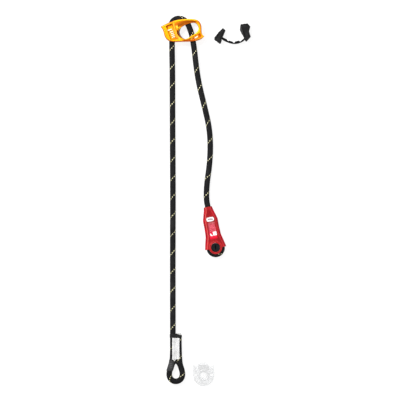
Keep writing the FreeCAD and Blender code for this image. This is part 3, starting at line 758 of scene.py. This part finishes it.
def cut_end():
    """The melted tip of the return leg: pale fibres with a rough domed end."""
    middle = (-18.7, -591.6, SEAM_Z)
    rng = np.random.default_rng(3)
    rings = []
    for radius, out in ((3.6, -1.2), (3.7, 0.0), (3.75, 1.2), (3.6, 2.2), (3.1, 2.9), (2.3, 3.3), (1.3, 3.45),
                        (0.4, 3.4)):
        ring = []
        for t in turns(40):
            wobble = 0.18 * math.sin(5 * t + radius) + rng.uniform(-0.1, 0.1)
            r = radius + wobble * (radius > 3)
            point = (r * math.cos(t), out + 0.6 * wobble, 1.2 * r * math.sin(t))
            ring.append(tuple((m + c) * MM for m, c in zip(middle, point)))
        rings.append(ring)
    s = Shader("sealed_core", Roughness=0.55, Specular_IOR_Level=0.3)
    spot = s.noise(1100.0, 4.0)
    core = s.mix(s.step(spot, 0.35, 0.65), (0.30, 0.30, 0.29), (0.56, 0.56, 0.55))
    burnt = s.step(s.math("MULTIPLY_ADD", spot, 0.0009, s.axes(0.0, middle)[1]), 0.0006, 0.0001)
    material = s.finish(Base_Color=s.mix(burnt, core, (0.02, 0.02, 0.02)), Normal=s.bump(spot, 0.0002, 0.8))
    piece = mesh_piece("tail_core_tip", *loft(rings), material, "tail_end", "rope_core")
    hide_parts("tail_cut_end")
    return piece


def marking_sleeve():
    """The grey tube on the eye's left leg, with slanting ends and plain bands."""
    x, y = tail_line[:, 0] / MM, tail_line[:, 1] / MM
    leg = tail_line[(x < TAIL_MID_X) & (WEAR_SLEEVE_LOW < y) & (y < WEAR_SLEEVE_HIGH)] / MM
    ahead, side, _ = along(leg)
    rings = []
    for part, radius in ((0, 5.6), (0, 6.1), (0.012, 6.3), (0.04, 6.35), (0.35, 6.3), (0.65, 6.35),
                         (0.96, 6.45), (0.988, 6.4), (1, 6.2), (1, 5.6)):
        i = int(round(part * (len(leg) - 1)))
        ring = []
        for t in turns(48):
            slant = 1.3 * math.cos(t) * abs(2 * part - 1) * (-1 if part > 0.5 else 1)
            point = leg[i] - side[i] * radius * math.cos(t) + ahead[i] * slant
            ring.append(tuple((point + np.array([0, 0, radius * math.sin(t)])) * MM))
        rings.append(ring)
    s = Shader("wear_sleeve_grey", Roughness=0.5, Specular_IOR_Level=0.3)
    grain = s.noise(400.0)
    lean, middle = -0.195, (-35.0, -652.0, 0.0)
    across, up_leg, _ = s.axes(lean, middle)
    bar = s.times(s.math("LESS_THAN", s.math("FRACT", s.times(up_leg, 260.0)), 0.38),
                  s.math("LESS_THAN", s.math("ABSOLUTE", across), 0.0032),
                  s.math("LESS_THAN", s.math("ABSOLUTE", up_leg), 0.0062))
    ground = s.mix(grain, (0.020, 0.020, 0.021), (0.036, 0.036, 0.038))
    colour = s.mix(s.times(bar, 0.12), ground, (0.4, 0.4, 0.4))
    material = s.finish(Base_Color=colour, Normal=s.bump(grain, 0.00008, 0.6))
    piece = mesh_piece("eye_wear_sleeve", *loft(rings, "joined"), material, "tail_end", "marking_sleeve")
    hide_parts("tail_marking_sleeve")
    return piece


def leg_web():
    """The shrunk skin that fills the fork where the eye's legs part. Its lower edge is a slit."""
    count = 32
    rings = []
    for py, half, height, droop in ((-634.0, 4.2, 2.6, 0.0), (-638.6, 4.2, 3.2, 0.0), (-641.5, 4.2, 4.3, 0.0),
                                    (-645.0, 4.0, 3.6, 1.5), (-646.6, 3.7, 2.6, 3.2), (-647.4, 3.4, 1.3, 4.2),
                                    (-647.6, 3.2, 0.3, 4.5)):
        ring = []
        for t in turns(count):
            low = py - droop * abs(math.cos(t)) ** 1.3
            spot = (TAIL_MID_X + half * math.cos(t), low, SEAM_Z + height * math.sin(t))
            ring.append(metres(spot))
        rings.append(ring)
    verts, faces = loft(rings, "open")
    first = len(verts) - count
    faces.append(tuple(range(count))[::-1])
    for k in range(count // 2):
        faces.append((first + k, first + k + 1, first + count - 1 - k, first + (count - k) % count))
    return mesh_piece("tail_leg_web", verts, faces, black_band, "tail_end", "shrink_band")


tail_thread = thread_block()
loose_ends = thread_ends([
    [(-31.6, -637.2, 12.0), (-30.4, -639.4, 11.9), (-29.0, -641.0, 11.5), (-27.8, -642.8, 10.6)],
    [(-30.4, -637.6, 12.0), (-29.3, -639.2, 11.9), (-28.4, -640.6, 11.2), (-27.2, -641.6, 10.3)],
    [(-26.2, -638.2, 10.6), (-26.6, -640.2, 10.7), (-27.6, -641.8, 10.6)],
], 0.55)
tail_band = seam_band()
tail_tip = cut_end()
wear_sleeve = marking_sleeve()
web = leg_web()


# ---------------------------------------------------------------- harness end
# The half-widths of the sleeve's tunnel and of its flanges, each as (distance up the sleeve, half-width).
TUNNEL_ROWS = [(80.4, 7.2), (72, 7.9), (64, 10.7), (56, 12.9), (40, 12.9), (22, 13.4), (12, 16.4), (4, 19.0),
               (-1.5, 19.7)]
FLANGE_ROWS = [(80.4, 7.9), (73, 9.3), (64, 12.0), (55, 14.5), (40, 14.3), (24, 15.0), (12, 18.0),
               (-1.5, 21.0)]
SLEEVE_WALL = 1.2
BEND_R = 5.4
BEND_ANGLES = np.radians([18, 36, 54, 72, 86])
HOLE_R = 10.6
PLUG_R = 8.75
BADGE_Y = 55.8
BADGE_HALF_X, BADGE_HALF_Y = 7.4, 4.15


def red_plastic():
    """Translucent red: bright where light comes through its wings, darker over the rope it covers."""
    s = Shader("sleeve_red", Roughness=0.38, Subsurface_Weight=0.15, Subsurface_Scale=1.0,
               Subsurface_Radius=(0.003, 0.0004, 0.0004), Specular_IOR_Level=0.07, Alpha=0.99)
    haze = s.noise(110.0)
    across, up_sleeve, height = s.axes(-END_TURN, END_CENTRE)
    wing = s.mix(s.step(haze, 0.35, 0.7), (0.36, 0.001, 0.009), (0.48, 0.002, 0.016))
    middle = s.mix(s.step(haze, 0.3, 0.72), (0.26, 0.008, 0.011), (0.37, 0.014, 0.017))
    # Painted highlight: a pale line along the tunnel's upper shoulders, stronger on the left side.
    shoulder_highlight = s.times(s.step(height, 0.0136, 0.0141), s.step(height, 0.0149, 0.0146))
    side = s.math("MULTIPLY_ADD", s.step(across, 0.004, -0.004), 0.55, 0.3)
    colour = s.mix(s.step(height, 0.0142, 0.0148), wing, middle)
    colour = s.mix(s.times(shoulder_highlight, side), colour, (0.62, 0.090, 0.080))
    patch = s.times(s.step(up_sleeve, 0.0172, 0.0176), s.step(up_sleeve, 0.0204, 0.0200),
                    s.step(s.math("ABSOLUTE", across), 0.0076, 0.0072), s.step(height, 0.0140, 0.0144))
    colour = s.mix(patch, colour, (0.68, 0.006, 0.030))
    return s.finish(Base_Color=colour, Normal=s.bump(s.noise(1100.0), 0.00004, 0.5))


def ring_plastic():
    """The rings' red, with painted highlights along convex edges."""
    s = Shader("ring_red", Roughness=0.4, Subsurface_Weight=0.1, Subsurface_Radius=(0.002, 0.0003, 0.0003),
               Specular_IOR_Level=0.1)
    haze = s.noise(160.0)
    pointiness = s.node("NewGeometry", out=7)
    colour = s.mix(s.step(haze, 0.35, 0.7), (0.32, 0.007, 0.010), (0.43, 0.011, 0.015))
    # Painted highlight along the convex edges.
    colour = s.mix(s.step(pointiness, 0.515, 0.58), colour, (0.58, 0.070, 0.065))
    return s.finish(Base_Color=colour, Normal=s.bump(haze, 0.0001, 0.4))


def width_at(rows, stations):
    """Half widths at stations along the sleeve, from (station, half width) rows in falling order."""
    known, widths = np.array(rows[::-1]).T
    return smooth(np.interp(stations, known, widths), 3)


def section(w, side, wall):
    """The sleeve's cross-section, once round from the middle of its underside, with the given side."""
    turn, r = w - BEND_R, BEND_R - wall
    half = [(0, wall), (0.5 * turn, wall), (turn, wall)]
    half += [(turn + r * math.sin(t), BEND_R - r * math.cos(t)) for t in BEND_ANGLES]
    half += side
    half += [(turn + r * math.sin(t), SLEEVE_H - BEND_R + r * math.cos(t)) for t in BEND_ANGLES[::-1]]
    half += [(turn, SLEEVE_H - wall), (0.5 * turn, SLEEVE_H - wall), (0, SLEEVE_H - wall)]
    return half + [(-px, pz) for px, pz in half[-2:0:-1]]


def protective_sleeve():
    """The sleeve as one skin, outside and inside, with the connector's hole cut through it."""
    stations = np.concatenate([[80.4, 80.2], np.arange(79.2, -1.0, -1.1), [-1.3, -1.5]])
    tunnel, flange = width_at(TUNNEL_ROWS, stations), width_at(FLANGE_ROWS, stations)
    mid = SLEEVE_H / 2
    heights = (-1.75, -1.3, -0.9, -0.5, 0.0, 0.5, 0.9, 1.3, 1.75)
    outer, inner = [], []
    for i, station in enumerate(stations):
        tuck = 0.25 if i in (0, len(stations) - 1) else 0.0
        w, f = tunnel[i] - tuck, flange[i] - tuck
        steps = ((w + 0.02 * (f - w), 1.75), (w + 0.25 * (f - w), 1.3), (w + 0.8 * (f - w), 1.15), (f, 0.75))
        wing = [(px, mid - h) for px, h in steps] + [(f + 0.1, mid)]
        wing += [(px, mid + h) for px, h in steps[::-1]]
        ring = section(w, wing, 0.0)
        outer.append([at_end(px, station, tuck + pz * (1 - 2 * tuck / SLEEVE_H)) for px, pz in ring])
        ring = section(tunnel[i], [(tunnel[i] - SLEEVE_WALL, mid + h) for h in heights], SLEEVE_WALL)
        inner.append([at_end(px, station, pz) for px, pz in ring])
    verts, faces = loft(outer + inner[::-1], "joined")
    piece = mesh_piece("red_sleeve", [metres(v) for v in verts], faces, red_plastic())
    bpy.ops.mesh.primitive_cylinder_add(vertices=96, radius=HOLE_R * MM, depth=0.05,
                                        location=metres(END_CENTRE))
    cutter = bpy.context.object
    hole = piece.modifiers.new("hole", "BOOLEAN")
    hole.operation, hole.object, hole.solver = "DIFFERENCE", cutter, "EXACT"
    apply_modifiers(piece)
    bpy.data.objects.remove(cutter)
    shade(piece.data, 45)
    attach(piece, "harness_end")
    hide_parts("protective_sleeve")
    return piece


def ring_of_sleeve(name, low, high, lip):
    """The ring round the connector's plug, turned from its profile of (radius, height) in mm."""
    profile = [(8.95, low + 0.25), (8.95, high - 0.3), (9.05, high + lip * 0.6), (9.4, high + lip),
               (9.8, high + lip * 0.9), (10.2, high + lip * 0.2), (11.3, high), (11.8, high + lip * 0.6),
               (12.3, high + lip * 0.7), (12.7, high), (12.85, high - 0.35), (12.8, low + 0.35),
               (12.5, low + 0.05), (11.5, low), (9.2, low)]
    rings = []
    for r, z in profile:
        rings.append([((END_CENTRE.x + r * math.cos(t)) * MM, (END_CENTRE.y + r * math.sin(t)) * MM, z * MM)
                      for t in turns(96)])
    return mesh_piece(name, *loft(rings, "joined"), ring_red, "harness_end", "red_sleeve", sharp=60)


def plug_height(px, py):
    """The plug's face: a low dome with a slit between two lips, and a ridge near its rim."""
    r = math.hypot(px, py)
    dome = 14.55 - 0.35 * (r / PLUG_R) ** 4 - (0.45 if r > 8.7 else 0.0)
    half = max(0.0, 1 - (py / 5.75) ** 2)
    gap = abs(px)
    if half > 0.05 and gap < half:
        return dome - 3.2 * (1 - (gap / half) ** 2) ** 0.5 - 0.1
    lip = 0.32 * math.exp(-(((gap - half - 0.7) / 0.6) ** 2)) * (abs(py) < 6.6)
    return dome + lip + 0.28 * math.exp(-(((r - 7.4) / 0.5) ** 2))


def connector_plug():
    """The slit rubber plug, as a fine grid so that the slit has lips and depth."""
    count = 96
    rings = []
    for r in [*np.linspace(0.0, 8.4, 41)[1:], 8.6, PLUG_R]:
        circle = [(r * math.cos(t), r * math.sin(t)) for t in turns(count)]
        rings.append([at_end(px, py, plug_height(px, py)) for px, py in circle])
    for r, z in ((8.8, 13.3), (8.7, 13.1), (6.3, 12.9), (6.2, 12.0), (6.2, 2.5), (6.3, 1.6), (8.3, 1.5),
                 (8.4, 1.3), (8.4, 0.6), (8.2, 0.4), (6.8, 0.35)):
        rings.append([at_end(r * math.cos(t), r * math.sin(t), z) for t in turns(count)])
    verts, faces = loft(rings, "open")
    faces.append(tuple(range(len(verts) - count, len(verts))))
    faces += [(len(verts), (k + 1) % count, k) for k in range(count)]
    verts.append(at_end(0, 0, plug_height(0, 0)))
    material = rubber("plug_rubber", (0.0045, 0.0055, 0.0065), 0.55, 600.0, 0.00007, 0.10)
    piece = mesh_piece("connector_plug", [metres(v) for v in verts], faces, material,
                       "harness_end", "black_rubber", sharp=50)
    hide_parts("connector_retainer")
    return piece


def badge():
    """The white badge, a rounded plate with a row of short dark marks."""
    rings = []
    for inset, height in ((0.15, 14.9), (0, 15.1), (0, 15.5), (0.12, 15.7), (0.4, 15.8), (1.2, 15.83)):
        ring = []
        for t in turns(64, 0.5):
            px = math.copysign(abs(math.cos(t)) ** 0.56, math.cos(t)) * (BADGE_HALF_X - inset)
            py = math.copysign(abs(math.sin(t)) ** 0.64, math.sin(t)) * (BADGE_HALF_Y - inset)
            ring.append(metres(at_end(px, BADGE_Y + py, height)))
        rings.append(ring)
    s = Shader("badge_white", Roughness=0.35, Specular_IOR_Level=0.3)
    speck = s.noise(900.0)
    px, py, _ = s.axes(-END_TURN, at_end(0, BADGE_Y, 0))
    py = s.math("MULTIPLY_ADD", px, 0.12, py)
    marks = s.times(s.math("LESS_THAN", s.math("ABSOLUTE", py), 0.0016),
                    s.math("LESS_THAN", s.math("ABSOLUTE", px), 0.0046),
                    s.math("GREATER_THAN", s.math("FRACT", s.times(px, 420.0)), 0.24), 0.9)
    colour = s.mix(marks, s.mix(speck, (0.80, 0.79, 0.79), (0.87, 0.86, 0.86)), (0.14, 0.04, 0.05))
    material = s.finish(Base_Color=colour, Normal=s.bump(speck, 0.00003, 0.5))
    piece = mesh_piece("oval_badge", *loft(rings), material, "harness_end", "badge", sharp=60)
    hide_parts("sleeve_badge")
    return piece


def label_material():
    """A printed film: rows of short white dashes on red, a white square and a small white corner block."""
    s = Shader("printed_label", Roughness=0.45, Specular_IOR_Level=0.3)
    px, py = (s.times(axis, 1000.0) for axis in s.axes(-END_TURN, END_CENTRE)[:2])

    def rect(x0, x1, y0, y1):
        return s.times(s.math("GREATER_THAN", px, x0), s.math("LESS_THAN", px, x1),
                       s.math("GREATER_THAN", py, y0), s.math("LESS_THAN", py, y1))

    row = s.times(py, 0.62)
    line = s.node("CombineXYZ", {0: px, 1: s.math("FLOOR", row), 2: 0.0})
    words = s.node("TexNoise", {"Vector": line, "Scale": 1.1, "Detail": 1.0})
    text = s.times(s.math("LESS_THAN", s.math("FRACT", row), 0.55), s.math("GREATER_THAN", words, 0.47),
                   rect(-5.4, 6.8, 32.0, 50.2), 0.55)
    square = rect(0.2, 7.1, 23.6, 31.0)
    corner = s.math("MAXIMUM", rect(-5.6, -3.6, 24.6, 28.4), rect(-4.6, -1.4, 23.4, 25.8))
    haze = s.noise(260.0)
    colour = s.mix(s.step(haze, 0.42, 0.6), (0.40, 0.012, 0.030), (0.60, 0.048, 0.080))
    colour = s.mix(s.step(py, 43.0, 50.5), colour, (0.30, 0.040, 0.034))
    colour = s.mix(s.step(px, -4.2, -6.4), colour, (0.30, 0.014, 0.024))
    colour = s.mix(s.math("LESS_THAN", py, 31.6), colour, (0.60, 0.010, 0.045))
    colour = s.mix(text, colour, (0.80, 0.22, 0.28))
    colour = s.mix(rect(-7.3, 7.3, 20.0, 23.0), colour, (0.70, 0.008, 0.036))
    colour = s.mix(s.math("MAXIMUM", square, corner), colour, (0.90, 0.89, 0.90))
    return s.finish(Base_Color=colour, Normal=s.bump(haze, 0.00005, 0.4))


def dress(node, material):
    piece = frame["nodes"][node]
    for slot in piece.material_slots:
        slot.material = material
    return piece


sleeve = protective_sleeve()
ring_red = ring_plastic()
top_ring = ring_of_sleeve("sleeve_top_ring", 13.7, 15.05, 0.4)
low_ring = ring_of_sleeve("sleeve_low_ring", 0.05, 1.3, 0.0)
plug = connector_plug()
oval = badge()
label = dress("harness_label", label_material())
inner_thread = dress("harness_stitching", white_thread)
inner_band = dress("harness_seam_band", black_band)


# ---------------------------------------------------------------- loose accessories
KEEPER_CENTRE = (28.4, -670.0)
BOOT_TOP = 12.0


def clear_plastic():
    """Thin clear moulding: mostly see-through, greyer and more solid where it is thick."""
    s = Shader("clear_moulding", Specular_IOR_Level=0.3, IOR=1.45)
    frost = s.attribute("frost")
    haze = s.noise(120.0)
    colour = s.mix(s.step(haze, 0.3, 0.7), (0.78, 0.785, 0.79), (0.80, 0.805, 0.81))
    colour = s.mix(s.step(frost, 0.40, 0.75), colour, (0.65, 0.652, 0.655))
    return s.finish(Base_Color=colour, Roughness=s.blend_value(haze, 0.18, 0.32),
                    Alpha=s.times(frost, s.blend_value(haze, 0.97, 1.03)),
                    Normal=s.bump(s.noise(1300.0), 0.00002, 0.3))


def frosted(piece):
    """Marks where the keeper is thick: its rim, the ring round its hole and its raised plateau."""
    co, normal = read_skin(piece)
    x, y, z = co[:, 0] - KEEPER_CENTRE[0], co[:, 1] - KEEPER_CENTRE[1], co[:, 2]
    radius = np.hypot(x, y)
    side = (np.abs(normal[:, 2]) < 0.4) & (z > 4) & (z < 6)
    outside = side & (x * normal[:, 0] + y * normal[:, 1] > 0) & (radius > 14)
    rim = nearest(co[:, :2], co[outside][:, :2])
    frost = 0.38 + 0.18 * (1 - rise(rim, 1.2, 2.2))
    frost += 0.18 * rise(radius, 7.4, 8.2) * (1 - rise(radius, 11.4, 12.4))
    frost += 0.32 * rise(y, 8.0, 10.0) * (1 - rise(y, 20.0, 22.0)) * (1 - rise(np.abs(x), 9.0, 12.0))
    frost += 0.20 * (1 - rise(radius, 6.6, 7.2))
    slots = [(1, 1.7, (13.8, -0.4), (17.0, -0.4)), (1, 0.9, (14.5, -9.0), (9.5, -13.2))]
    frost *= 1 - 0.85 * np.clip(strokes(x, y, slots) + strokes(-x, y, slots), 0, 1)
    write_skin(piece, co, frost=frost)


def folded_rubber():
    """The boots' rubber: darker with painted shade in its folds, and paler with painted light on its sloping
    facets.
    """
    s = Shader("boot_rubber", Specular_IOR_Level=0.08)
    fine = s.noise(420.0, 4.0)
    colour = s.mix(s.step(s.noise(70.0, 2.0), 0.3, 0.8), (0.009, 0.009, 0.0095), (0.018, 0.018, 0.019))
    # Painted light on the sloping facets.
    colour = s.mix(s.attribute("facet"), colour, (0.036, 0.036, 0.037))
    # Painted shade in the folds.
    colour = s.mix(s.attribute("groove"), colour, (0.003, 0.003, 0.003))
    return s.finish(Base_Color=colour, Roughness=s.blend_value(fine, 0.5, 0.72),
                    Normal=s.bump(fine, 0.00012, 0.7))


def creases(piece, folds, facet):
    """Folds in a boot's upper face: grooves along lines, and a facet that slopes away beyond a line.

    Each fold is (depth, width, point, point), and the facet is (point, point, depth, reach), in mm.
    """
    co, _ = read_skin(piece)
    x, y, z = co.T.copy()
    grooves = strokes(x, y, folds)
    (ax, ay), (bx, by), depth, reach = facet
    length = math.hypot(bx - ax, by - ay)
    beyond = ((x - ax) * (by - ay) - (y - ay) * (bx - ax)) / length
    drop = grooves + depth * np.clip(beyond / reach, 0, 1)
    co[:, 2] -= drop * rise(z, BOOT_TOP * 0.45, BOOT_TOP * 0.97)
    # The grooves are marked for painted shade and the facet for painted light.
    write_skin(piece, co, groove=np.clip(grooves, 0, 1), facet=rise(beyond, 0.3, 1.2))


def swell(piece, amounts, fill=None):
    """Moves a rubber skin outwards by each (x, y, reach, amount), in mm, and fills a notch in its +Y edge."""
    co, normal = read_skin(piece)
    x, y = co[:, 0].copy(), co[:, 1].copy()
    for sx, sy, reach, amount in amounts:
        near = amount * (1 - rise(np.hypot(x - sx, y - sy), reach * 0.7, reach))
        co[:, :2] += near[:, None] * normal[:, :2]
    if fill:
        fx, fy, reach, amount = fill
        co[:, 1] += amount * np.exp(-(((x - fx) / reach) ** 2)) * rise(y, fy - 4.0, fy)
    write_skin(piece, co)


keeper = remeshed("clear_keeper", "clear_keeper_shell", 0.5, clear_plastic(), "clear_keeper")
frosted(keeper)

boot_rubber = folded_rubber()
strap_rubber = rubber("strap_rubber", (0.0022, 0.0022, 0.0026), 0.6, 420.0, 0.00010, 0.04)
strap = remeshed("notched_strap", "toothed_strap", 0.32, strap_rubber, "strap_keeper")
left_boot = remeshed("small_boot", "left_boot", 0.42, boot_rubber, "strap_keeper")
right_boot = remeshed("large_boot", "right_boot", 0.42, boot_rubber, "strap_keeper")
creases(left_boot, [
    (1.0, 0.8, (68.4, 1.0), (61.0, -17.0)), (0.7, 1.6, (57.5, -7.0), (54.5, -13.5)),
    (0.6, 0.6, (51.5, -17.0), (60.5, -22.6)),
], ((60.3, 2.2), (50.0, -12.0), 2.2, 4.0))
creases(right_boot, [
    (1.1, 0.8, (102.6, 7.5), (109.2, -12.0)), (0.9, 0.7, (101.5, 11.4), (113.6, 12.0)),
    (0.7, 0.7, (113.6, 12.0), (117.6, 8.2)), (0.7, 0.9, (115.4, -3.0), (116.4, -11.5)),
], ((102.0, 10.5), (108.2, -13.0), 2.4, 3.0))
swell(strap, [(85.0, -20.0, 40.0, 0.12), (104.5, -18.2, 5.6, 0.6)])
swell(left_boot, [(50.0, -8.0, 14.0, 0.9), (66.5, -6.0, 10.0, 0.6), (60.5, -23.0, 7.0, 0.6)])
swell(right_boot, [(100.0, 2.0, 12.0, 0.7)], (107.3, 11.6, 2.8, 1.2))


# ---------------------------------------------------------------- floor
def studio_floor():
    """A pale floor, lit from within so that it stays white."""
    s = Shader("floor", Roughness=0.9, Specular_IOR_Level=0.2, Emission_Color=(1, 1, 1),
               Emission_Strength=0.86)
    material = s.finish(Base_Color=s.mix(s.noise(3.0, 2.0), (0.20, 0.20, 0.20), (0.22, 0.22, 0.22)))
    half, level = 6.0, -0.0004
    corners = [(-half, -half, level), (half, -half, level), (half, half, level), (-half, half, level)]
    return mesh_piece("floor", corners, [(0, 1, 2, 3)], material, sharp=None)


floor = studio_floor()
